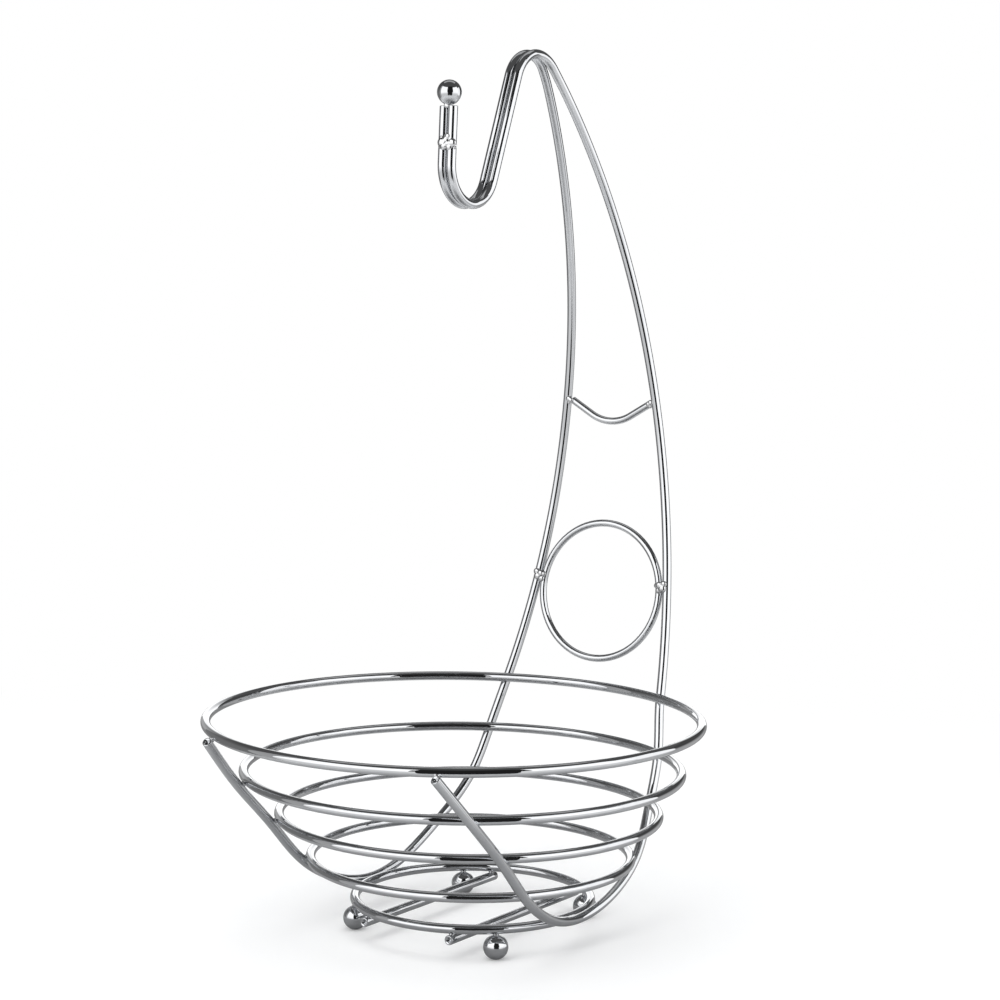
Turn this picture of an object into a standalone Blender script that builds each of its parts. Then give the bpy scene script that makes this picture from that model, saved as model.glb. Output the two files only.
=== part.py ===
"""Wire fruit bowl with a banana hanger, all of chrome-plated steel wire welded together.

Metres, +Z up, the hanger at the back (+Y). The bowl is set out from the point on the table under
the middle of its rim, and then moved so that the origin lies under the middle of the whole object.
Pieces that are welded where they touch keep a small clearance here, so each is its own solid.
"""
import math

import bmesh
import bpy
import numpy as np
from mathutils import Matrix

# Wires and balls, by diameter, and the clearance between pieces that touch.
WIRE = 0.005
TRIM_WIRE = 0.004
BALL = 0.0127
FOOT_FLAT = 0.003
CLEARANCE = 0.0003

# The bowl. Radii are to the middle of the wire, and so is the rim's height above the table.
RIM_RADIUS = 0.1275
RIM_HEIGHT = 0.113
BASE_RADIUS = 0.062
BASE_SETBACK = 0.0186

# Each inner ring's place between base and rim: its rise, spread and setback as shares of theirs.
RING_SHARES = {
    "upper_ring": (0.718, 0.786, 0.44),
    "middle_ring": (0.475, 0.566, 0.77),
    "lower_ring": (0.232, 0.334, 0.88),
}

# Where each long wire is welded to the rings, in degrees round the bowl from its front.
WELD_ANGLES = (
    ("rim_ring", 32.0),
    ("upper_ring", 38.3),
    ("middle_ring", 44.7),
    ("lower_ring", 54.5),
    ("base_ring", 90.0),
    ("lower_ring", 132.0),
    ("middle_ring", 145.5),
    ("upper_ring", 152.0),
    ("rim_ring", 157.5),
)
FRONT_OVERHANG = 0.001

# The hanger from the side: its lean back at the rim, then bends and straights to the cut ends.
UPRIGHT_LEAN = 23.0
UPRIGHT_BEND_RADIUS = 0.3386
UPRIGHT_TURN = 57.6
SHOULDER_BEND_RADIUS = 0.17
SHOULDER_TURN = 5.8
CREST_BEND_RADIUS = 0.0192
LEG_SLOPE = 21.3
LEG_LENGTH = 0.059
HOOK_BEND_RADIUS = 0.019
RISER_LEAN = 2.6
RISER_LENGTH = 0.0285

# From the front the uprights run together and meet at this share of the way up to the crest.
MEETING_SHARE = 0.967
MEETING_BEND = 0.015

# Bars and feet under the base.
BAR_SPACING = 0.0534
BAR_OVERHANG = 0.003
FRONT_FOOT_ANGLE = 46.0
BACK_FOOT_ANGLE = 140.0

# Trim between the uprights: a circle, and above it a swag with straight arms.
CIRCLE_HEIGHT = 0.1647
CIRCLE_LEAN = 9.5
SWAG_HEIGHT = 0.2706
SWAG_BEND_RADIUS = 0.025
SWAG_SLOPE = 30.0

# Weld beads, as shares of the wire: half sizes across, out from and along it, then their lift.
PAIR_BEAD_SHARES = (1.14, 0.48, 0.8, 0.5)
CIRCLE_BEAD_SHARES = (0.86, 0.42, 0.76, 0.44)
SWAG_BEAD_SHARES = (0.56, 0.42, 0.52, 0.44)
BALL_BEAD_SHARES = (0.36, 0.3, 0.36, 0.5)
PAIR_WELD_SHARE = 0.65

# How finely curves are cut into straights, and round sections into flats.
CHORD_DEPTH = 0.00007
TRACE_STEP = 0.001
WIRE_SIDES = 8
BALL_SIDES = 16
BALL_STEPS = 8
BEAD_SIDES = 10
SETTLING_ROUNDS = 12

CHROME = (0.78, 0.79, 0.81)
BEAD_CHROME = (0.7, 0.7, 0.71)
CHROME_ROUGHNESS = 0.06
BEAD_ROUGHNESS = 0.18

# What follows from the sizes above: middle to middle distances, and heights from the table up.
REACH = WIRE + CLEARANCE
TRIM_REACH = (WIRE + TRIM_WIRE) / 2 + CLEARANCE
FOOT_HEIGHT = math.sqrt((BALL / 2) ** 2 - (FOOT_FLAT / 2) ** 2)
BASE_HEIGHT = FOOT_HEIGHT + BALL / 2 + CLEARANCE + WIRE / 2
ACROSS = np.array((1.0, 0.0, 0.0))
UP = np.array((0.0, 0.0, 1.0))
SIDES = (("left", np.array((-1.0, 1.0, 1.0))), ("right", np.array((1.0, 1.0, 1.0))))


def unit(vector):
    return vector / np.linalg.norm(vector)


def around(angle):
    """Level direction at an angle in degrees round the bowl from its front."""
    return np.array((math.sin(math.radians(angle)), -math.cos(math.radians(angle)), 0.0))


def plating(name, colour, roughness):
    material = bpy.data.materials.new(name)
    material.use_nodes = True
    shader = material.node_tree.nodes["Principled BSDF"]
    shader.inputs["Base Color"].default_value = (*colour, 1.0)
    shader.inputs["Metallic"].default_value = 1.0
    shader.inputs["Roughness"].default_value = roughness
    material.diffuse_color = (*colour, 1.0)
    return material


def add_piece(name, data, location, parent, colour=CHROME, roughness=CHROME_ROUGHNESS):
    data.materials.append(plating(name, colour, roughness))
    piece = bpy.data.objects.new(name, data)
    piece.location = location
    piece.parent = parent
    bpy.context.collection.objects.link(piece)
    return piece


# Round wire

def wire_curve(name, points, diameter, closed=False):
    """A round wire along points, with flat cut ends unless it is closed."""
    curve = bpy.data.curves.new(name, "CURVE")
    curve.dimensions = "3D"
    curve.bevel_depth = diameter / 2
    curve.bevel_resolution = (WIRE_SIDES - 4) // 2
    curve.use_fill_caps = not closed
    spline = curve.splines.new("POLY")
    spline.points.add(len(points) - 1)
    for knot, point in zip(spline.points, points):
        knot.co = (*point, 1.0)
    spline.use_cyclic_u = closed
    return curve


def thin(trace):
    """Keeps only the points that a dense trace needs to stay within the chord depth."""
    keep, last = [0], len(trace) - 1
    while keep[-1] < last:
        start, end = keep[-1], keep[-1] + 1
        while end < last:
            span = trace[start:end + 2] - trace[start]
            chord = unit(span[-1])
            if np.linalg.norm(span - np.outer(span @ chord, chord), axis=1).max() > CHORD_DEPTH:
                break
            end += 1
        keep.append(end)
    return trace[keep]


def circle_points(radius, fineness=1):
    """An even circle in the XY plane, with the corners that the chord depth asks for."""
    corners = 4 * fineness * math.ceil(math.pi / (4 * math.acos(1 - CHORD_DEPTH / radius)))
    return radius * np.array([around(360 * i / corners) for i in range(corners)])


def least_distance(first, second):
    """Least distance between two dense traces, and the nearest point of each."""
    apart = np.linalg.norm(first[:, None] - second[None], axis=2)
    i, j = np.unravel_index(apart.argmin(), apart.shape)
    return apart[i, j], first[i], second[j]


# Rings of the bowl

def ring_sizes():
    """Radius, setback and height of every ring, from the rim down."""
    rings = {"rim_ring": (RIM_RADIUS, 0.0, RIM_HEIGHT)}
    for name, (rise, spread, setback) in RING_SHARES.items():
        radius = BASE_RADIUS + spread * (RIM_RADIUS - BASE_RADIUS)
        height = BASE_HEIGHT + rise * (RIM_HEIGHT - BASE_HEIGHT)
        rings[name] = (radius, setback * BASE_SETBACK, height)
    rings["base_ring"] = (BASE_RADIUS, BASE_SETBACK, BASE_HEIGHT)
    return rings


def make_rings(rings, parent):
    for name, (radius, setback, height) in rings.items():
        curve = wire_curve(name, circle_points(radius), WIRE, closed=True)
        add_piece(name, curve, (0.0, setback, height), parent)


# The long wires: each one is a rib under the bowl, an upright and one half of the hook

def bend(radius, turn):
    return radius * math.radians(abs(turn)), turn


def side_trace(start, lean, moves):
    """Walks bends and straights in the YZ plane. Lean and turns are in degrees, back is plus."""
    trace, lean = [np.array(start)], math.radians(lean)
    for length, turn in moves:
        count = math.ceil(length / TRACE_STEP)
        for _ in range(count):
            lean += math.radians(turn) / count / 2
            trace.append(trace[-1] + length / count * np.array((math.sin(lean), math.cos(lean))))
            lean += math.radians(turn) / count / 2
    return np.array(trace)


def hanger_trace(foot):
    """From the weld at the back of the rim up over the crest and round the hook."""
    crest_turn = UPRIGHT_LEAN - UPRIGHT_TURN - SHOULDER_TURN + 180 - LEG_SLOPE
    moves = (
        bend(UPRIGHT_BEND_RADIUS, -UPRIGHT_TURN),
        bend(SHOULDER_BEND_RADIUS, -SHOULDER_TURN),
        bend(CREST_BEND_RADIUS, -crest_turn),
        (LEG_LENGTH, 0.0),
        bend(HOOK_BEND_RADIUS, 180 - LEG_SLOPE + RISER_LEAN),
        (RISER_LENGTH, 0.0),
    )
    side = side_trace(foot[1:], UPRIGHT_LEAN, moves)
    along = np.append(0.0, np.cumsum(np.linalg.norm(np.diff(side, axis=0), axis=1)))
    meeting = MEETING_SHARE * along[side[:, 1].argmax()]
    left = meeting - along
    rounding = (left + MEETING_BEND) ** 2 / (4 * MEETING_BEND)
    spread = np.where(left > MEETING_BEND, left, np.where(left < -MEETING_BEND, 0.0, rounding))
    taper = (foot[0] - REACH / 2) / meeting
    return np.column_stack([REACH / 2 + taper * spread, side])


def spline_slopes(knots, lengths, end_slope):
    """Slopes of one smooth cubic curve through knots: free at the first, given at the last."""
    matrix = np.zeros((len(knots), len(knots)))
    target = np.zeros_like(knots)
    matrix[0, :2] = 2, 1
    target[0] = 3 * (knots[1] - knots[0]) / lengths[0]
    for i in range(1, len(knots) - 1):
        before, after = lengths[i - 1:i + 1]
        matrix[i, i - 1:i + 2] = after, 2 * (before + after), before
        target[i] = 3 * after / before * (knots[i] - knots[i - 1])
        target[i] += 3 * before / after * (knots[i + 1] - knots[i])
    matrix[-1, -1] = 1
    target[-1] = end_slope
    return np.linalg.solve(matrix, target)


def rib_knots(rings):
    """Places and slopes of a long wire at its welds, from the front of the rim to the back.

    The wire lies outside each ring. There its middle is one reach from the ring's middle, square
    to both, so its places and its slopes are settled together, round by round.
    """
    radials = np.array([around(angle) for _, angle in WELD_ANGLES])
    seats = np.array([rings[name][0] * radial + np.array((0.0, *rings[name][1:]))
                      for (name, _), radial in zip(WELD_ANGLES, radials)])
    outward = radials.copy()
    for _ in range(SETTLING_ROUNDS):
        knots = seats + REACH * outward
        lengths = np.linalg.norm(np.diff(knots, axis=0), axis=1)
        first, second = hanger_trace(knots[-1])[:2]
        slopes = spline_slopes(knots, lengths, unit(second - first))
        for i, (name, _) in enumerate(WELD_ANGLES):
            if name != "base_ring":
                climb, spread = slopes[i] @ UP, slopes[i] @ radials[i]
                outward[i] = unit(abs(climb) * radials[i] - math.copysign(spread, climb * spread) * UP)
    return knots, lengths, slopes


def rib_trace(rings):
    knots, lengths, slopes = rib_knots(rings)
    trace = [knots[0] - FRONT_OVERHANG * unit(slopes[0])]
    for i, length in enumerate(lengths):
        for t in np.arange(0.0, 1.0, TRACE_STEP / length):
            trace.append(knots[i] + (3 * t ** 2 - 2 * t ** 3) * (knots[i + 1] - knots[i])
                         + (t ** 3 - 2 * t ** 2 + t) * length * slopes[i]
                         + (t ** 3 - t ** 2) * length * slopes[i + 1])
    return np.array(trace), knots[-1]


def make_long_wires(rib, hanger, parent):
    """Left and right wire, mirror images, each placed at its weld to the back of the rim."""
    points = thin(np.concatenate([rib, hanger])) - hanger[0]
    names = [f"{hand}_hanger_wire" for hand, _ in SIDES]
    return [add_piece(name, wire_curve(name, points * side, WIRE), hanger[0] * side, parent)
            for name, (_, side) in zip(names, SIDES)]


# Bars and feet under the base

def make_bars(parent):
    """Two straight wires from front to back under the base ring, cut a little outside it."""
    half = math.sqrt(BASE_RADIUS ** 2 - (BAR_SPACING / 2) ** 2) + BAR_OVERHANG
    for hand, side in SIDES:
        name = f"{hand}_cross_bar"
        curve = wire_curve(name, ((0.0, -half, 0.0), (0.0, half, 0.0)), WIRE)
        add_piece(name, curve, (side[0] * BAR_SPACING / 2, BASE_SETBACK, BASE_HEIGHT - REACH), parent)


def ball_mesh(name, flat):
    """A turned ball, with a round flat of the given diameter at its bottom unless that is zero."""
    start = math.asin(flat / BALL)
    angles = [start + (math.pi - start) * i / BALL_STEPS for i in range(BALL_STEPS + 1)]
    profile = [(BALL / 2 * math.sin(a), 0.0, -BALL / 2 * math.cos(a)) for a in angles]
    if flat:
        profile.insert(0, (0.0, 0.0, profile[0][2]))
    form = bmesh.new()
    corners = [form.verts.new(point) for point in profile]
    edges = [form.edges.new(pair) for pair in zip(corners, corners[1:])]
    bmesh.ops.spin(form, geom=corners + edges, axis=UP, cent=(0, 0, 0), angle=2 * math.pi,
                   steps=BALL_SIDES, use_merge=True)
    bmesh.ops.remove_doubles(form, verts=form.verts, dist=CHORD_DEPTH)
    bmesh.ops.recalc_face_normals(form, faces=form.faces)
    mesh = bpy.data.meshes.new(name)
    form.to_mesh(mesh)
    form.free()
    mesh.shade_smooth()
    return mesh


def make_feet(parent):
    """Four balls right under the base ring, each with a small flat to stand on."""
    for end, turn in (("front", FRONT_FOOT_ANGLE), ("back", BACK_FOOT_ANGLE)):
        for hand, side in SIDES:
            name = f"{end}_{hand}_ball_foot"
            spot = BASE_RADIUS * around(turn) * side + np.array((0.0, BASE_SETBACK, FOOT_HEIGHT))
            add_piece(name, ball_mesh(name, FOOT_FLAT), spot, parent)


# Trim between the uprights, and the ball on the hook

def at_height(upright, height):
    return np.array([np.interp(height, upright[:, 2], row) for row in upright.T])


def make_circle(upright, parent):
    """The circle that just fits between the uprights, with its dense trace."""
    middle = at_height(upright, CIRCLE_HEIGHT)
    radius = middle[0] - TRIM_REACH
    middle[0] = 0.0
    lean = math.radians(CIRCLE_LEAN)
    for _ in range(SETTLING_ROUNDS):
        x, y, _ = circle_points(radius, fineness=8).T
        trace = np.column_stack([x, y * math.sin(lean), y * math.cos(lean)]) + middle
        radius += least_distance(trace, upright)[0] - TRIM_REACH
    curve = wire_curve("upright_circle", circle_points(radius), TRIM_WIRE, closed=True)
    circle = add_piece("upright_circle", curve, middle, parent)
    circle.rotation_euler.x = math.radians(90 - CIRCLE_LEAN)
    return circle, trace


def swag_trace(arm):
    """Half the swag from its middle to one cut end, in the XZ plane, with its middle at zero."""
    slope = math.radians(SWAG_SLOPE)
    turns = np.linspace(0.0, slope, math.ceil(SWAG_BEND_RADIUS * slope / TRACE_STEP))
    trace = [SWAG_BEND_RADIUS * np.array((math.sin(a), 0.0, 1 - math.cos(a))) for a in turns]
    trace.append(trace[-1] + arm * np.array((math.cos(slope), 0.0, math.sin(slope))))
    return np.array(trace)


def make_swag(upright, parent):
    """The swag, its arms just long enough to reach the uprights, with the middle of its cut end."""
    seat = at_height(upright, SWAG_HEIGHT)
    slope = math.radians(SWAG_SLOPE)
    arm = (seat[0] - TRIM_REACH - SWAG_BEND_RADIUS * math.sin(slope)) / math.cos(slope)
    corner = TRIM_WIRE / 2 * np.array((math.sin(slope), 0.0, -math.cos(slope)))
    for _ in range(SETTLING_ROUNDS):
        half = swag_trace(arm)
        middle = np.array((0.0, seat[1], SWAG_HEIGHT - half[-1, 2]))
        edge = middle + half[-1] + corner
        arm += least_distance(edge[None], upright)[0] - WIRE / 2 - CLEARANCE
    points = thin(np.concatenate([half[::-1] * SIDES[0][1], half[1:]]))
    swag = add_piece("upright_swag", wire_curve("upright_swag", points, TRIM_WIRE), middle, parent)
    return swag, middle + half[-1:]


def make_hook_ball(hanger, parent):
    """The ball welded on top of the two cut ends, in line with the riser."""
    top = hanger[-1] * (0, 1, 1) + (CLEARANCE + BALL / 2) * unit(hanger[-1] - hanger[-2])
    return add_piece("hook_ball", ball_mesh("hook_ball", 0.0), top, parent)


# Weld beads

def swollen(piece):
    """A cutter in the place of a piece, one clearance larger than it all round."""
    data = piece.data.copy()
    if isinstance(data, bpy.types.Curve):
        data.bevel_depth += CLEARANCE
        points = data.splines[0].points
        if not data.splines[0].use_cyclic_u:
            for end, inner in ((points[0], points[1]), (points[-1], points[-2])):
                end.co.xyz += (end.co - inner.co).xyz.normalized() * CLEARANCE
    else:
        data.transform(Matrix.Scale(1 + 2 * CLEARANCE / BALL, 4))
    guide = bpy.data.objects.new("guide", data)
    bpy.context.collection.objects.link(guide)
    graph = bpy.context.evaluated_depsgraph_get()
    mesh = bpy.data.meshes.new_from_object(guide.evaluated_get(graph))
    bpy.data.objects.remove(guide)
    cutter = bpy.data.objects.new(f"{piece.name}_cutter", mesh)
    cutter.parent = piece.parent
    cutter.location = piece.location
    cutter.rotation_euler = piece.rotation_euler
    cutter.hide_render = True
    cutter.display_type = "WIRE"
    bpy.context.collection.objects.link(cutter)
    return cutter


def add_bead(name, seat, across, along, shares, cutters, parent):
    """A drop of weld on the front of a joint, cut to clear the pieces that it joins."""
    front = unit(np.cross(across, along))
    front *= -math.copysign(1, front[1])
    form = bmesh.new()
    bmesh.ops.create_uvsphere(form, u_segments=BEAD_SIDES, v_segments=BEAD_SIDES // 2, radius=1)
    bmesh.ops.scale(form, vec=WIRE * np.array(shares[:3]), verts=form.verts)
    mesh = bpy.data.meshes.new(name)
    form.to_mesh(mesh)
    form.free()
    mesh.shade_smooth()
    place = seat + WIRE * shares[3] * front
    bead = add_piece(name, mesh, place, parent, BEAD_CHROME, BEAD_ROUGHNESS)
    bead.rotation_euler = Matrix((across, front, np.cross(across, front))).transposed().to_euler()
    for cutter in cutters:
        cut = bead.modifiers.new(cutter.name, "BOOLEAN")
        cut.operation = "DIFFERENCE"
        cut.object = cutter


def make_hook_beads(hanger, wires, ball, parent):
    """One long bead on the pair of wires, low on the riser, and one under the ball."""
    top, along = hanger[-1] * (0, 1, 1), unit(hanger[-1] - hanger[-2])
    pair = top - PAIR_WELD_SHARE * RISER_LENGTH * along
    add_bead("hook_pair_weld", pair, ACROSS, along, PAIR_BEAD_SHARES, wires, parent)
    add_bead("hook_ball_weld", top, ACROSS, along, BALL_BEAD_SHARES, wires + [ball], parent)


def make_trim_beads(name, trace, upright, shares, trim, wires, parent):
    """A bead on each side, where the trim comes nearest to the upright."""
    _, inner, outer = least_distance(trace, upright)
    across = unit(outer - inner)
    seat = outer - across * (WIRE + CLEARANCE) / 2
    i = np.linalg.norm(upright - outer, axis=1).argmin()
    along = unit(upright[i + 1] - upright[i - 1])
    for (hand, side), wire in zip(SIDES, wires):
        add_bead(f"{hand}_{name}_weld", seat * side, across * side, along * side, shares,
                 (trim, wire), parent)


def main():
    for item in list(bpy.data.objects):
        bpy.data.objects.remove(item)
    bowl = bpy.data.objects.new("fruit_bowl", None)
    bpy.context.collection.objects.link(bowl)

    rings = ring_sizes()
    rib, foot = rib_trace(rings)
    hanger = hanger_trace(foot)
    upright = hanger[:hanger[:, 2].argmax() + 1]
    bowl.location.y = (RIM_RADIUS - hanger[:, 1].max()) / 2
    make_rings(rings, bowl)
    wires = [swollen(wire) for wire in make_long_wires(rib, hanger, bowl)]
    make_bars(bowl)
    make_feet(bowl)
    ball = swollen(make_hook_ball(hanger, bowl))
    make_hook_beads(hanger, wires, ball, bowl)

    circle, circle_trace = make_circle(upright, bowl)
    make_trim_beads("circle", circle_trace, upright, CIRCLE_BEAD_SHARES, swollen(circle), wires, bowl)
    swag, swag_end = make_swag(upright, bowl)
    make_trim_beads("swag", swag_end, upright, SWAG_BEAD_SHARES, swollen(swag), wires, bowl)


main()
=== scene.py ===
"""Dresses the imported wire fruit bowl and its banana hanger: round bright wires, balls and beads.

Metres, +Z up, on the table. The hanger's uprights are at the back, towards +Y.
"""
import math

import bmesh
import bpy
from mathutils import Matrix, Vector


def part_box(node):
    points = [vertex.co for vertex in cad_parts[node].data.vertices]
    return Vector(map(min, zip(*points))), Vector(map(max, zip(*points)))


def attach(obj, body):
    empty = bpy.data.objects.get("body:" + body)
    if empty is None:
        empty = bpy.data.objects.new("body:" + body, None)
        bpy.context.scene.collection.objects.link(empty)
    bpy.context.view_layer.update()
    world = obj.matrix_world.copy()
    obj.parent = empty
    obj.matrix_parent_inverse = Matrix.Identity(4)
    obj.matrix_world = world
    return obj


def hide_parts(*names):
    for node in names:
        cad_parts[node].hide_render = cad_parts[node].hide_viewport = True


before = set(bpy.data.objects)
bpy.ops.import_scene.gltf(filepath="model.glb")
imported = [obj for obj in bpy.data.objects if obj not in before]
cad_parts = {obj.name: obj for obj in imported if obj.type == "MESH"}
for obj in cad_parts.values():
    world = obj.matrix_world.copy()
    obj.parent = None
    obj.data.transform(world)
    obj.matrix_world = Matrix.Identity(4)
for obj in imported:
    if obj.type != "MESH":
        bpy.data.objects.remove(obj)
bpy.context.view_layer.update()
up = Vector((0.0, 0.0, 1.0))


# The camera stands in front of the bowl, off to its right, a little above the hanger's middle. Its
# angles are its turn round the bowl, its look down and its tilt to one side.
camera_place = Vector((0.7027, -0.9968, 0.3514))
camera_turn, camera_pitch, camera_roll = (math.radians(d) for d in (34.43, 5.87, 0.74))
focal_length = 85.68
sensor_width = 36.0


def toward(turn, climb=0.0):
    """Direction at a turn round the bowl from its front, and a climb above level."""
    level = math.cos(climb)
    return Vector((math.sin(turn) * level, -math.cos(turn) * level, math.sin(climb)))


def link(thing):
    bpy.context.scene.collection.objects.link(thing)
    return thing


looking_back = toward(camera_turn, camera_pitch)
rightward = Vector((math.cos(camera_turn), math.sin(camera_turn), 0.0))
aim = Matrix((rightward, looking_back.cross(rightward), looking_back)).transposed()
aim = aim @ Matrix.Rotation(camera_roll, 3, "Z")
camera_data = bpy.data.cameras.new("camera")
camera_data.lens = focal_length
camera_data.sensor_width = sensor_width
camera = link(bpy.data.objects.new("camera", camera_data))
camera.matrix_world = Matrix.Translation(camera_place) @ aim.to_4x4()
bpy.context.scene.camera = camera
bpy.context.scene.view_settings.view_transform = "Standard"


# The room round the table is plain white to the camera, and it lights the table with an even pale
# grey. Reflections show the walls and cards that stand in it instead. A Link is a shader node's
# output, on which Python's + and * work, and Nodes.add makes any other node.
class Link:
    def __init__(self, nodes, socket):
        self.nodes, self.socket = nodes, socket

    def maths(self, operation, *values):
        return self.nodes.add("ShaderNodeMath", {"operation": operation}, dict(enumerate(values)))

    def __add__(self, other):
        return self.maths("ADD", self, other)

    def __radd__(self, other):
        return self.maths("ADD", other, self)

    def __mul__(self, other):
        return self.maths("MULTIPLY", self, other)

    def __rmul__(self, other):
        return self.maths("MULTIPLY", other, self)


class Nodes:
    def __init__(self, tree):
        self.tree = tree
        tree.nodes.clear()

    def add(self, kind, settings=None, inputs=None, output=0):
        """Adds a node with its settings, then its sockets' values or links. Returns its output."""
        node = self.tree.nodes.new(kind)
        for name, value in (settings or {}).items():
            if name == "stops":
                for stop, (position, shade) in zip(node.color_ramp.elements, value):
                    stop.position = position
                    stop.color = (shade, shade, shade, 1.0)
            else:
                setattr(node, name, value)
        for name, value in (inputs or {}).items():
            if isinstance(value, Link):
                self.tree.links.new(value.socket, node.inputs[name])
            else:
                node.inputs[name].default_value = value
        return Link(self, node.outputs[output]) if len(node.outputs) else None


def new_finish(name):
    finish = bpy.data.materials.new(name)
    finish.use_nodes = True
    return finish, Nodes(finish.node_tree)


room_grey = (0.96, 0.98, 1.0, 1.0)
room_light = 0.74
white = (1.0, 1.0, 1.0, 1.0)
world = bpy.data.worlds.new("white_room")
world.use_nodes = True
nodes = Nodes(world.node_tree)
seen, mirrored, passed = (nodes.add("ShaderNodeLightPath", output=f"Is {kind} Ray")
                          for kind in ("Camera", "Glossy", "Transmission"))
soft = nodes.add("ShaderNodeBackground", {}, {"Color": room_grey, "Strength": room_light})
plain = nodes.add("ShaderNodeBackground", {}, {"Color": white, "Strength": 1.0})
shown = nodes.add("ShaderNodeMixShader", {}, {0: seen + mirrored + passed, 1: soft, 2: plain})
nodes.add("ShaderNodeOutputWorld", {}, {"Surface": shown})
bpy.context.scene.world = world


# The table top is a pale, level sheet with the bowl's soft shadow. The camera sees it brightened,
# and as the white of the room further out. Mirrored in the wires it has painted shade, darkest near
# the bowl, and away from the bowl it is clear where it is seen at a slant, so the cards show below
# it.
table_radius = 7.0
table_sides = 96
table_colour = (0.86, 0.855, 0.85, 1.0)
table_glow = 0.16
shadow_reach = (0.30, 0.75)
mirrored_slant = (0.36, 0.60)
mirrored_reach = (0.06, 0.26)
painted_shade_reach = (0.04, 0.42)
painted_shade_share = 0.62


def smooth_step(nodes, value, span):
    """Goes softly from 0 to 1 as a value goes from the start of a span to its end."""
    return nodes.add("ShaderNodeMapRange", {"interpolation_type": "SMOOTHSTEP"},
                     {"Value": value, "From Min": span[0], "From Max": span[1]})


def mesh_from(form, name):
    """Turns a form into a mesh, and frees the form."""
    mesh = bpy.data.meshes.new(name)
    form.to_mesh(mesh)
    form.free()
    return mesh


form = bmesh.new()
bmesh.ops.create_circle(form, cap_ends=True, segments=table_sides, radius=table_radius)
table_mesh = mesh_from(form, "table_top")
finish, nodes = new_finish("pale_table")
place = nodes.add("ShaderNodeTexCoord", output="Object")
distance = nodes.add("ShaderNodeVectorMath", {"operation": "LENGTH"}, {0: place}, output="Value")
grazing = nodes.add("ShaderNodeLayerWeight", {}, {"Blend": 0.5}, output="Facing")
to_camera = nodes.add("ShaderNodeLightPath", output="Is Camera Ray")
to_mirror = nodes.add("ShaderNodeLightPath", output="Is Glossy Ray")
far = smooth_step(nodes, distance, shadow_reach)
slanted = smooth_step(nodes, grazing, mirrored_slant)
away = smooth_step(nodes, distance, mirrored_reach)
# Painted shade: seen in the wires, the table is blended towards black, the more the nearer the
# bowl.
dim = nodes.add("ShaderNodeMapRange", {}, {"Value": distance, "From Min": painted_shade_reach[0],
                                           "From Max": painted_shade_reach[1], "To Min": painted_shade_share,
                                           "To Max": 0.0})
matt = nodes.add("ShaderNodeBsdfDiffuse", {}, {"Color": table_colour})
glow = nodes.add("ShaderNodeEmission", {}, {"Color": white, "Strength": to_camera * table_glow})
near = nodes.add("ShaderNodeAddShader", {}, {0: matt, 1: glow})
unlit = nodes.add("ShaderNodeEmission", {}, {"Color": white, "Strength": 0.0})
near = nodes.add("ShaderNodeMixShader", {}, {0: dim * to_mirror, 1: near, 2: unlit})
beyond = nodes.add("ShaderNodeEmission", {}, {"Color": white, "Strength": 1.0})
surface = nodes.add("ShaderNodeMixShader", {}, {0: far * to_camera, 1: near, 2: beyond})
clear = nodes.add("ShaderNodeBsdfTransparent", {}, {"Color": white})
see_through = slanted * away * to_mirror
surface = nodes.add("ShaderNodeMixShader", {}, {0: see_through, 1: surface, 2: clear})
nodes.add("ShaderNodeOutputMaterial", {}, {"Surface": surface})
table_mesh.materials.append(finish)
table_top = link(bpy.data.objects.new("table_top", table_mesh))


# Three broad lamps light the table softly: one on each side of the camera and one overhead. The
# wires don't mirror them, because the cards below stand for them there. Turns are in degrees from
# the camera's own.
lamp_aim = Vector((0.0, 0.0, 0.15))
# (name, turn, distance, height, (width, length), power)
lamps = (
    ("left_lamp", -42, 1.75, 1.15, (1.2, 1.9), 15.5),
    ("right_lamp", 54, 1.75, 1.15, (1.2, 1.9), 5.0),
    ("top_lamp", 180, 0.3, 2.2, (1.6, 1.6), 9.0),
)
for name, turn, distance, height, (width, length), power in lamps:
    lamp_data = bpy.data.lights.new(name, "AREA")
    lamp_data.shape = "RECTANGLE"
    lamp_data.size, lamp_data.size_y = width, length
    lamp_data.energy = power
    lamp = link(bpy.data.objects.new(name, lamp_data))
    lamp.location = toward(camera_turn + math.radians(turn)) * distance + up * height
    lamp.rotation_euler = (lamp.location - lamp_aim).to_track_quat("Z", "Y").to_euler()
    lamp.visible_camera = lamp.visible_glossy = False


# Bright metal shows only what stands round it. The room is dim all round and overhead. In it stand
# tall curved cards, light and dark by turns, and one light panel hangs high behind. Only
# reflections show them. Turns are in degrees from the camera's own.
card_radius = 1.9
card_steps = 24
card_bottom = -1.6
left_top = 2.15
right_top = 1.95
back_top = 1.1
gap_middle_bottom = 0.34
gap_top_bottom = 1.35
room_top = 2.62
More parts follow.
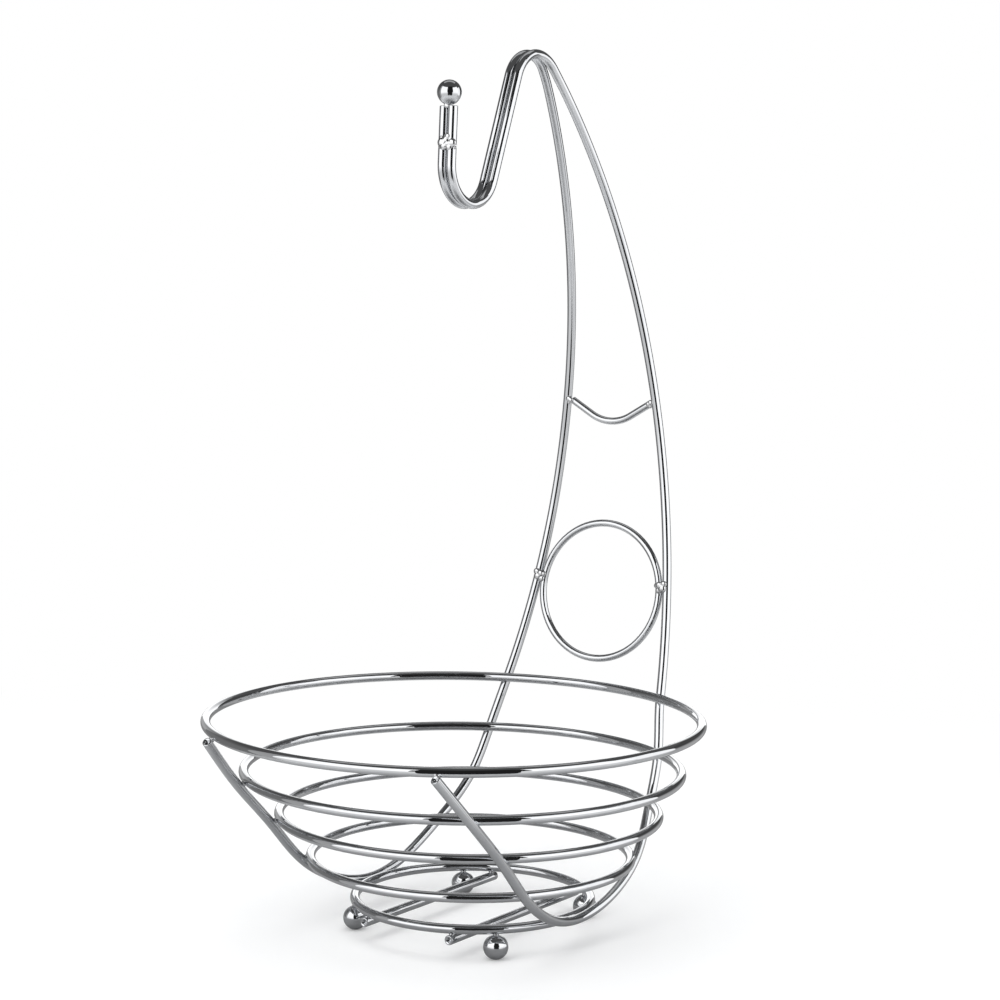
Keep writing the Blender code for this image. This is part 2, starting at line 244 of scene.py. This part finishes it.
# (name, first turn, last turn, how far in front of the other cards, bottom, top,
#  strength low down and high up, and the two heights between which it blends)
cards = (
    ("walls", -180, 180, -0.05, card_bottom, room_top, 0.22, 0.10, 0.4, 1.4),
    ("dark_gap", -15, 29, 0.0, card_bottom, gap_top_bottom, 0.02, 0.02, 0.0, 1.0),
    ("dark_gap_middle", -18, 34, 0.01, gap_middle_bottom, gap_top_bottom, 0.02, 0.02, 0.0, 1.0),
    ("dark_gap_top", -17, 35, 0.02, gap_top_bottom, room_top, 0.02, 0.02, 0.0, 1.0),
    ("left_softbox", -82, -15, 0.0, card_bottom, left_top, 0.9, 1.7, -0.1, 0.4),
    ("left_edge", -98, -82, 0.0, card_bottom, left_top, 0.5, 0.4, 0.0, 2.2),
    ("right_softbox", 29, 86, 0.0, card_bottom, right_top, 0.95, 1.7, -0.1, 0.4),
    ("right_edge", 86, 113, 0.0, card_bottom, 1.5, 0.65, 1.5, -0.25, 0.0),
    ("right_back", 113, 158, 0.0, card_bottom, back_top, 0.5, 0.08, -0.1, 0.35),
    ("backdrop", 158, 200, 0.0, card_bottom, back_top, 1.5, 0.3, 0.45, 1.0),
    ("backdrop_edge", 200, 218, 0.0, card_bottom, back_top, 0.5, 0.2, 0.4, 1.0),
    ("backdrop_foot", 152, 218, 0.02, card_bottom, 0.02, 0.3, 0.3, 0.0, 1.0),
)
# (name, how far it hangs towards the camera, width, depth, height, strength)
ceilings = (
    ("ceiling", 0.0, 5.0, 5.0, room_top, 0.1),
    ("ceiling_light", -1.35, 2.4, 1.7, room_top - 0.04, 0.55),
)


def only(kind, parts):
    """The parts of one kind, such as a step's new corners or edges."""
    return [part for part in parts if isinstance(part, kind)]


def card_finish(name, low, high, bottom=0.0, top=1.0):
    """Glows at one strength up to the bottom height, and blends to another at the top height."""
    finish, nodes = new_finish(name)
    place = nodes.add("ShaderNodeTexCoord", output="Object")
    height = nodes.add("ShaderNodeSeparateXYZ", {}, {0: place}, output="Z")
    strength = nodes.add("ShaderNodeMapRange", {}, {"Value": height, "From Min": bottom,
                                                    "From Max": top, "To Min": low,
                                                    "To Max": high})
    glow = nodes.add("ShaderNodeEmission", {}, {"Color": white, "Strength": strength})
    nodes.add("ShaderNodeOutputMaterial", {}, {"Surface": glow})
    return finish


def add_card(name, form, *glow):
    """Makes a form into a card that only reflections show."""
    mesh = mesh_from(form, name)
    mesh.materials.append(card_finish(name, *glow))
    card = link(bpy.data.objects.new(name, mesh))
    card.visible_camera = card.visible_diffuse = card.visible_shadow = False
    card.visible_transmission = card.visible_volume_scatter = False


for name, first, last, in_front, bottom, top, *glow in cards:
    form = bmesh.new()
    start = toward(camera_turn + math.radians(first)) * (card_radius - in_front) + up * bottom
    bmesh.ops.spin(form, geom=[form.verts.new(start)], cent=(0, 0, 0), axis=up,
                   angle=math.radians(last - first), steps=card_steps)
    raised = bmesh.ops.extrude_edge_only(form, edges=form.edges[:])["geom"]
    bmesh.ops.translate(form, vec=up * (top - bottom), verts=only(bmesh.types.BMVert, raised))
    add_card(name, form, *glow)
for name, forward, width, depth, height, strength in ceilings:
    form = bmesh.new()
    bmesh.ops.create_grid(form, x_segments=1, y_segments=1, size=1.0)
    bmesh.ops.scale(form, vec=(width / 2, depth / 2, 1.0), verts=form.verts)
    hung = Matrix.Translation(toward(camera_turn) * forward + up * height)
    bmesh.ops.transform(form, matrix=hung @ Matrix.Rotation(camera_turn, 4, "Z"), verts=form.verts)
    add_card(name, form, strength, strength)


# Five rings of steel wire make the bowl. Each was cut, bent round and butt welded at the back, and
# the whole bowl was chrome plated in one piece at the end: mirror bright, over the fine lines that
# drawing left along the wire.
wire = 0.005
wire_sides = 32
ring_step = 0.0033
smear_scale, wave_scale, speck_scale = 42.0, 95.0, 2100.0
drawing_scale = (3600.0, 3600.0, 30.0)
smear_stops = ((0.42, 0.0), (0.74, 1.0))
dust_stops = ((0.63, 0.0), (0.72, 1.0))
dust_roughness = 0.02
speck_height = 0.02
fine_relief = 0.000006
plating_colour = (0.62, 0.63, 0.645, 1.0)


def chrome(name, colour, film, roughness, haze, relief, drawn):
    """Chrome plating: its colour, the colour of a thin film on it, and how hazed and uneven it is.

    The straight attribute holds each point's place on the wire as it was before it was bent, so the
    lines left by drawing run along the wire.
    """
    finish, nodes = new_finish(name)
    place = nodes.add("ShaderNodeTexCoord", output="Object")
    smears = nodes.add("ShaderNodeTexNoise", {}, {"Vector": place, "Scale": smear_scale,
                                                  "Detail": 5.0, "Roughness": 0.62,
                                                  "Distortion": 0.8})
    wiped = nodes.add("ShaderNodeValToRGB", {"stops": smear_stops}, {0: smears})
    specks = nodes.add("ShaderNodeTexNoise", {}, {"Vector": place, "Scale": speck_scale,
                                                  "Detail": 2.0})
    dust = nodes.add("ShaderNodeValToRGB", {"stops": dust_stops}, {0: specks})
    waves = nodes.add("ShaderNodeTexNoise", {}, {"Vector": place, "Scale": wave_scale,
                                                 "Detail": 1.5})
    straight = nodes.add("ShaderNodeAttribute", {"attribute_name": "straight"}, output="Vector")
    stretched = nodes.add("ShaderNodeMapping", {}, {"Vector": straight, "Scale": drawing_scale})
    lines = nodes.add("ShaderNodeTexNoise", {}, {"Vector": stretched, "Scale": 1.0, "Detail": 3.0})
    tint = nodes.add("ShaderNodeMix", {"data_type": "RGBA"}, {0: wiped, 6: colour, 7: film},
                     output=2)
    height = waves + lines * drawn + specks * speck_height
    bump = nodes.add("ShaderNodeBump", {}, {"Height": height, "Strength": 1.0, "Distance": relief})
    shader = nodes.add("ShaderNodeBsdfPrincipled", {}, {
        "Base Color": tint, "Metallic": 1.0, "Normal": bump,
        "Roughness": roughness + wiped * haze + dust * dust_roughness})
    nodes.add("ShaderNodeOutputMaterial", {}, {"Surface": shader})
    return finish


def middle_and_size(node):
    """Middle and size of the box round a CAD node."""
    low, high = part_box(node)
    return (low + high) / 2, high - low


def add_bright(form, name, finish, slot, *nodes):
    """Makes a form into a finished piece, in the place of the nodes that are named."""
    mesh = mesh_from(form, name)
    mesh.shade_smooth()
    mesh.materials.append(finish)
    piece = link(bpy.data.objects.new(name, mesh))
    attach(piece, "root")
    if nodes:
        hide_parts(*nodes)
    return piece


def ring_form(radius, thickness, matrix):
    """A full ring of round wire, its seam at the back, turned and placed by a matrix."""
    form = bmesh.new()
    upright = Matrix.Translation((0.0, radius, 0.0)) @ Matrix.Rotation(math.pi / 2, 4, "Y")
    bmesh.ops.create_circle(form, segments=wire_sides, radius=thickness / 2, matrix=upright)
    bmesh.ops.spin(form, geom=form.verts[:] + form.edges[:], cent=(0, 0, 0), axis=up,
                   angle=2 * math.pi, steps=round(2 * math.pi * radius / ring_step),
                   use_merge=True)
    bmesh.ops.recalc_face_normals(form, faces=form.faces)
    straight = form.verts.layers.float_vector.new("straight")
    for vert in form.verts:
        x, y, z = vert.co
        vert[straight] = (math.hypot(x, y) - radius, z, radius * abs(math.atan2(x, y)))
    bmesh.ops.transform(form, matrix=matrix, verts=form.verts)
    return form


bright_chrome = chrome("bright_chrome", colour=plating_colour, film=(0.57, 0.58, 0.60, 1.0),
                       roughness=0.008, haze=0.018, relief=fine_relief, drawn=0.02)
rings = {}
for node in ("rim_ring", "upper_ring", "middle_ring", "lower_ring", "base_ring"):
    middle, size = middle_and_size(node)
    radius = (size.x - wire) / 2
    rings[node] = (middle, radius)
    form = ring_form(radius, wire, Matrix.Translation(middle))
    add_bright(form, f"bright_{node}", bright_chrome, "bright_chrome", node)


# Two straight bars lie under the base ring from front to back. They are the same wire, sheared off
# a little outside the ring, with a small rounding round each end and a hollow in its middle. The
# hollow's steps are how far in each goes, as a share of the wire's radius, and how deep.
hands = (("left", -1), ("right", 1))
backward = Vector((0.0, 1.0, 0.0))
end_rounding = 0.0004
rounding_steps = 4
hollow_steps = ((0.16, 0.0), (0.3, 0.0011), (0.3, 0.0011))
bar_step = 0.004


def push_wire(form, route, thickness):
    """Pushes a round section along a route of points, and finishes both ends as sheared ends."""
    straight = form.verts.layers.float_vector.new("straight")
    ahead = [(b - a).normalized() for a, b in zip(route, route[1:])]
    facing = [(a + b).normalized() for a, b in zip(ahead, ahead[1:])]
    facing = [ahead[0]] + facing + [ahead[-1]]
    start = Matrix.Translation(route[0]) @ up.rotation_difference(facing[0]).to_matrix().to_4x4()
    section = bmesh.ops.create_circle(form, segments=wire_sides, radius=thickness / 2,
                                      matrix=start)["verts"]
    for i, vert in enumerate(section):
        turn = 2 * math.pi * i / wire_sides
        vert[straight] = Vector((math.cos(turn), math.sin(turn), 0.0)) * thickness / 2
    first = edges = form.edges[:]
    length = 0.0
    for i in range(1, len(route)):
        grown = bmesh.ops.extrude_edge_only(form, edges=edges)["geom"]
        section = only(bmesh.types.BMVert, grown)
        edges = [edge for edge in only(bmesh.types.BMEdge, grown) if edge.is_boundary]
        turned = facing[i - 1].rotation_difference(facing[i]).to_matrix().to_4x4()
        step = Matrix.Translation(route[i]) @ turned @ Matrix.Translation(-route[i - 1])
        bmesh.ops.transform(form, matrix=step, verts=section)
        length += (route[i] - route[i - 1]).length
        for vert in section:
            vert[straight].z = length
    ends = [bmesh.ops.edgeloop_fill(form, edges=loop)["faces"][0] for loop in (first, edges)]
    bmesh.ops.recalc_face_normals(form, faces=form.faces)
    rims = list({edge for face in ends for edge in face.edges})
    bmesh.ops.bevel(form, geom=rims, affect="EDGES", offset=end_rounding, segments=rounding_steps,
                    profile=0.5, material=-1)
    caps = [face for face in form.faces if len(face.verts) == wire_sides]
    for share, depth in hollow_steps:
        bmesh.ops.inset_individual(form, faces=caps, thickness=thickness / 2 * share, depth=-depth)


for hand, _ in hands:
    node = f"{hand}_cross_bar"
    middle, size = middle_and_size(node)
    steps = round(size.y / bar_step)
    route = [middle + backward * size.y * (i / steps - 0.5) for i in range(steps + 1)]
    form = bmesh.new()
    push_wire(form, route, wire)
    add_bright(form, f"bright_{node}", bright_chrome, "bright_chrome", node)


# Four ball feet of solid steel are welded right under the base ring. Each has worn a small flat
# where it stands.
ball = 0.0127
ball_sides = 72
ball_steps = 48
foot_flat = 0.003
foot_height = math.sqrt((ball / 2) ** 2 - (foot_flat / 2) ** 2)
cut_tolerance = 1e-7


def ball_form(middle, flat_below=None):
    """A turned ball, cut off flat below a height where one is given."""
    form = bmesh.new()
    bmesh.ops.create_uvsphere(form, u_segments=ball_sides, v_segments=ball_steps, radius=ball / 2,
                              matrix=Matrix.Translation(middle))
    if flat_below is not None:
        cut = bmesh.ops.bisect_plane(form, geom=form.verts[:] + form.edges[:] + form.faces[:],
                                     dist=cut_tolerance, plane_co=(0, 0, flat_below), plane_no=up,
                                     clear_inner=True)["geom_cut"]
        bmesh.ops.edgeloop_fill(form, edges=only(bmesh.types.BMEdge, cut))
        bmesh.ops.recalc_face_normals(form, faces=form.faces)
    return form


turned_chrome = chrome("turned_chrome", colour=plating_colour, film=(0.56, 0.57, 0.585, 1.0),
                       roughness=0.008, haze=0.025, relief=fine_relief, drawn=0.0)
feet = {}
for end in ("front", "back"):
    for hand, _ in hands:
        node = f"{end}_{hand}_ball_foot"
        middle, _ = middle_and_size(node)
        feet[node] = Vector((middle.x, middle.y, foot_height))
        form = ball_form(feet[node], flat_below=0.0)
        add_bright(form, f"bright_{node}", turned_chrome, "bright_chrome", node)


# Two long wires carry everything. Each is a rib that is welded to the outside of the rings, from
# its cut end under the front of the rim, down beside the base ring and up to the back of the rim,
# and then an upright, the crest and half of the hook.
clearance = 0.0003
reach = wire + clearance
# Where each rib is welded to a ring, in degrees round the bowl from its front.
weld_angles = (
    ("rim_ring", 32.0),
    ("upper_ring", 38.3),
    ("middle_ring", 44.7),
    ("lower_ring", 54.5),
    ("base_ring", 90.0),
    ("lower_ring", 132.0),
    ("middle_ring", 145.5),
    ("upper_ring", 152.0),
    ("rim_ring", 157.5),
)
front_overhang = 0.001
upright_lean = 23.0
# Bends are a radius and a turn in degrees, straights are a length alone.
bends = (
    (0.3386, -57.6),
    (0.17, -5.8),
    (0.0192, -118.3),
    (None, 0.059),
    (0.019, 161.3),
    (None, 0.0285),
)
meeting_share = 0.967
meeting_bend = 0.015
turn_step = 1.5
drawn_step = 0.005
settling_step = 0.001
settling_rounds = 12
rib_step = 0.0022


def walk(lean, bends, longest_step):
    """Steps backwards and upwards along bends and straights, and the length walked to each."""
    side, steps = Vector((0.0, 0.0)), [(0.0, 0.0, 0.0)]
    walked, lean = 0.0, math.radians(lean)
    for radius, turn in bends:
        length = turn if radius is None else radius * math.radians(abs(turn))
        turn = 0.0 if radius is None else turn
        count = math.ceil(max(abs(turn) / turn_step, length / longest_step))
        # The chord of each small arc is a little shorter than the arc itself.
        half = math.radians(turn) / count / 2
        chord = length / count * (math.sin(half) / half if half else 1.0)
        for _ in range(count):
            lean += half
            side += chord * Vector((math.sin(lean), math.cos(lean)))
            lean += half
            walked += length / count
            steps.append((*side, walked))
    return steps


def hanger_route(foot, longest_step):
    """From the weld at the back of the rim over the crest to the cut end under the hook's ball.

    The two wires run together towards the crest, and side by side from where they meet.
    """
    steps = walk(upright_lean, bends, longest_step)
    meeting = meeting_share * max(steps, key=lambda step: step[1])[2]
    route = []
    for back, rise, walked in steps:
        left = meeting - walked
        if left < -meeting_bend:
            spread = 0.0
        elif left < meeting_bend:
            spread = (left + meeting_bend) ** 2 / (4 * meeting_bend)
        else:
            spread = left
        x = reach / 2 + (foot.x - reach / 2) / meeting * spread
        route.append(Vector((x, foot.y + back, foot.z + rise)))
    return route


def lengths_between(places):
    """The straight distance from each place to the next."""
    return [(b - a).length for a, b in zip(places, places[1:])]


def rib_slopes(places, last_slope):
    """Slopes of the smoothest curve through places, found by sweeping to the last and back."""
    lengths = lengths_between(places)
    gain, lead = [0.5], [(places[1] - places[0]) * 1.5 / lengths[0]]
    for i in range(1, len(lengths)):
        before, after = lengths[i - 1:i + 1]
        pull = (3 * after / before * (places[i] - places[i - 1])
                + 3 * before / after * (places[i + 1] - places[i]))
        share = 2 * (before + after) - after * gain[-1]
        lead.append((pull - after * lead[-1]) / share)
        gain.append(before / share)
    slopes = [last_slope]
    for own, carried in zip(reversed(lead), reversed(gain)):
        slopes.insert(0, own - carried * slopes[0])
    return slopes


def settled_welds(seats, outward):
    """Places of the wire's middle at its welds, one reach off the ring's and square to both.

    The places and the wire's slopes there depend on each other, so they settle round by round.
    """
    off_ring = outward[:]
    for _ in range(settling_rounds):
        places = [seat + reach * off for seat, off in zip(seats, off_ring)]
        first, second = hanger_route(places[-1], settling_step)[:2]
        slopes = rib_slopes(places, (second - first).normalized())
        for i, (node, _) in enumerate(weld_angles):
            if node != "base_ring":
                climb, spread = slopes[i].z, slopes[i].dot(outward[i])
                off_ring[i] = abs(climb) * outward[i] - math.copysign(spread, climb * spread) * up
                off_ring[i].normalize()
    return places


def rib_route(places, last_slope):
    """One smooth curve through the welds, that leaves the last one at a given slope."""
    slopes = rib_slopes(places, last_slope)
    route = [places[0] - front_overhang * slopes[0].normalized()]
    for i, length in enumerate(lengths_between(places)):
        steps = math.ceil(length / rib_step)
        for t in (j / steps for j in range(steps)):
            route.append(places[i] + (3 * t ** 2 - 2 * t ** 3) * (places[i + 1] - places[i])
                         + (t ** 3 - 2 * t ** 2 + t) * length * slopes[i]
                         + (t ** 3 - t ** 2) * length * slopes[i + 1])
    return route


outward = [toward(math.radians(angle)) for _, angle in weld_angles]
seats = [rings[node][0] + rings[node][1] * out for (node, _), out in zip(weld_angles, outward)]
welds = settled_welds(seats, outward)
upright = hanger_route(welds[-1], drawn_step)
long_route = rib_route(welds, (upright[1] - upright[0]).normalized()) + upright
for hand, side in hands:
    node = f"{hand}_hanger_wire"
    form = bmesh.new()
    push_wire(form, [Vector((side * p.x, p.y, p.z)) for p in long_route], wire)
    add_bright(form, f"bright_{node}", bright_chrome, "bright_chrome", node)


# The ball on the hook's tip keeps bananas from sliding off. It is the same ball as the feet, but
# with no flat, and it stands on the two cut ends.
middle, _ = middle_and_size("hook_ball")
add_bright(ball_form(middle), "bright_hook_ball", turned_chrome, "bright_chrome", "hook_ball")


# Trim between the uprights is thinner wire: a circle that just fits between them, leaning with
# them, and above it a small bow that hangs from one upright to the other, with straight arms.
trim_wire = 0.004
circle_lean = math.radians(9.5)
bow_radius = 0.025
bow_slope = math.radians(30.0)
bow_steps = 24
arm_steps = 6

middle, size = middle_and_size("upright_circle")
place = Matrix.Translation(middle) @ Matrix.Rotation(math.pi / 2 - circle_lean, 4, "X")
add_bright(ring_form((size.x - trim_wire) / 2, trim_wire, place), "bright_upright_circle",
           bright_chrome, "bright_chrome", "upright_circle")

middle, size = middle_and_size("upright_swag")
bow_bottom = middle - up * (size.z - trim_wire) / 2
bow_half_width = size.x / 2 - trim_wire / 2 * math.sin(bow_slope)


def bow_route():
    """Straight arm, round bottom and straight arm, from the left cut end to the right one."""
    turns = [bow_slope * i / bow_steps for i in range(bow_steps + 1)]
    half = [bow_radius * Vector((math.sin(turn), 0.0, 1 - math.cos(turn))) for turn in turns]
    corner = half[-1]
    arm = (bow_half_width - corner.x) / math.cos(bow_slope)
    for i in range(1, arm_steps + 1):
        along = Vector((math.cos(bow_slope), 0.0, math.sin(bow_slope)))
        half.append(corner + arm * i / arm_steps * along)
    other_half = [Vector((-p.x, p.y, p.z)) for p in reversed(half[1:])]
    return [bow_bottom + p for p in other_half + half]


form = bmesh.new()
push_wire(form, bow_route(), trim_wire)
add_bright(form, "bright_upright_swag", bright_chrome, "bright_chrome", "upright_swag")


# Where wires cross they are resistance welded, pressed together until a small nugget squeezes out
# between them. Nuggets are half sizes along the ring, across it, and from one wire to the other.
nugget = Vector((0.0016, 0.0016, 0.0007))
long_nugget = Vector((0.0034, 0.0013, 0.0007))
nugget_sides = 24
nugget_steps = 16


def add_nugget(form, middle, through, along, size):
    """A nugget between two wires, flattened through the joint and lying along a wire."""
    across = through.cross(along).normalized()
    turned = Matrix((across.cross(through), across, through.normalized())).transposed().to_4x4()
    place = Matrix.Translation(middle) @ turned @ Matrix.Diagonal(size).to_4x4()
    bmesh.ops.create_uvsphere(form, u_segments=nugget_sides, v_segments=nugget_steps, radius=1.0,
                              matrix=place)


form = bmesh.new()
for (node, _), spot, seat, out in zip(weld_angles, welds, seats, outward):
    size = long_nugget if node == "base_ring" else nugget
    for _, side in hands:
        flip = Matrix.Diagonal((side, 1, 1))
        add_nugget(form, flip @ ((spot + seat) / 2), flip @ (spot - seat).normalized(),
                   flip @ up.cross(out), size)
base_middle, base_radius = rings["base_ring"]
under = base_middle - up * reach / 2
for foot in feet.values():
    level = (foot - base_middle).to_2d().to_3d()
    add_nugget(form, under + level, up, level.cross(up), nugget)
for hand, _ in hands:
    bar_side = middle_and_size(f"{hand}_cross_bar")[0].x
    for end in (-1, 1):
        crossing = Vector((bar_side, end * math.sqrt(base_radius ** 2 - bar_side ** 2), 0.0))
        add_nugget(form, under + crossing, up, backward, nugget)
weld_chrome = chrome("weld_chrome", colour=(0.66, 0.665, 0.675, 1.0), film=(0.56, 0.56, 0.57, 1.0),
                     roughness=0.03, haze=0.06, relief=0.00003, drawn=0.0)
add_bright(form, "crossing_welds", weld_chrome, "weld_chrome")


# Where a joint can be seen from the front, filler was run over it in drops and plated with the
# rest: on the hook's pair of wires, under the ball, and on each side of the circle and the bow.
# Drops are places from a bead's middle across, out and up, and a radius, in millimetres.
millimetre = 0.001
drop_fineness = 4
drop_depth = 0.6
flow_grain = 0.00016
settle_factor = 0.5
settle_repeats = 12
pair_drops = (
    (-2.0, -0.5, 0.1, 2.6),
    (-2.4, -0.7, 2.3, 1.5),
    (-2.4, -0.6, -1.9, 1.8),
    (-0.7, 0.0, -1.6, 2.0),
    (0.2, -0.4, 1.5, 1.7),
    (1.4, -0.6, 3.2, 1.7),
    (1.3, -0.2, -0.4, 1.8),
    (2.3, -0.4, -2.2, 1.8),
    (3.7, -1.0, -0.1, 2.5),
    (4.6, -1.7, -1.8, 1.6),
)
ball_drops = (
    (-0.4, -0.31, 0.29, 1.1),
    (0.6, -0.41, -0.01, 1.0),
    (0.1, -1.01, 0.39, 1.3),
)
circle_drops = (
    (2.0, 0.45, 1.7, 1.9),
    (1.2, 0.75, -0.9, 2.3),
    (-0.7, 0.65, 0.8, 2.1),
    (-2.4, 0.35, 0.5, 1.7),
    (-1.2, 0.35, -2.1, 1.9),
)
bow_drops = (
    (0.6, 0.24, 0.68, 1.6),
    (-0.8, 0.24, -0.12, 1.5),
    (0.3, 0.04, -1.22, 1.3),
)
beads = {"hook_pair_weld": (1, pair_drops), "hook_ball_weld": (1, ball_drops)}
for hand, side in hands:
    beads[f"{hand}_circle_weld"] = (side, circle_drops)
    beads[f"{hand}_swag_weld"] = (side, bow_drops)
for node, (side, drops) in beads.items():
    middle, _ = middle_and_size(node)
    form = bmesh.new()
    for across, out, rise, radius in drops:
        spot = middle + millimetre * Vector((side * across, -out, rise))
        flat = Matrix.Translation(spot) @ Matrix.Diagonal((1.0, drop_depth, 1.0, 1.0))
        bmesh.ops.create_icosphere(form, subdivisions=drop_fineness, radius=radius * millimetre,
                                   matrix=flat)
    bead = add_bright(form, f"bright_{node}", weld_chrome, "weld_chrome", node)
    flow = bead.modifiers.new("flow", "REMESH")
    flow.mode = "VOXEL"
    flow.voxel_size = flow_grain
    flow.use_smooth_shade = True
    settle = bead.modifiers.new("settle", "SMOOTH")
    settle.factor = settle_factor
    settle.iterations = settle_repeats
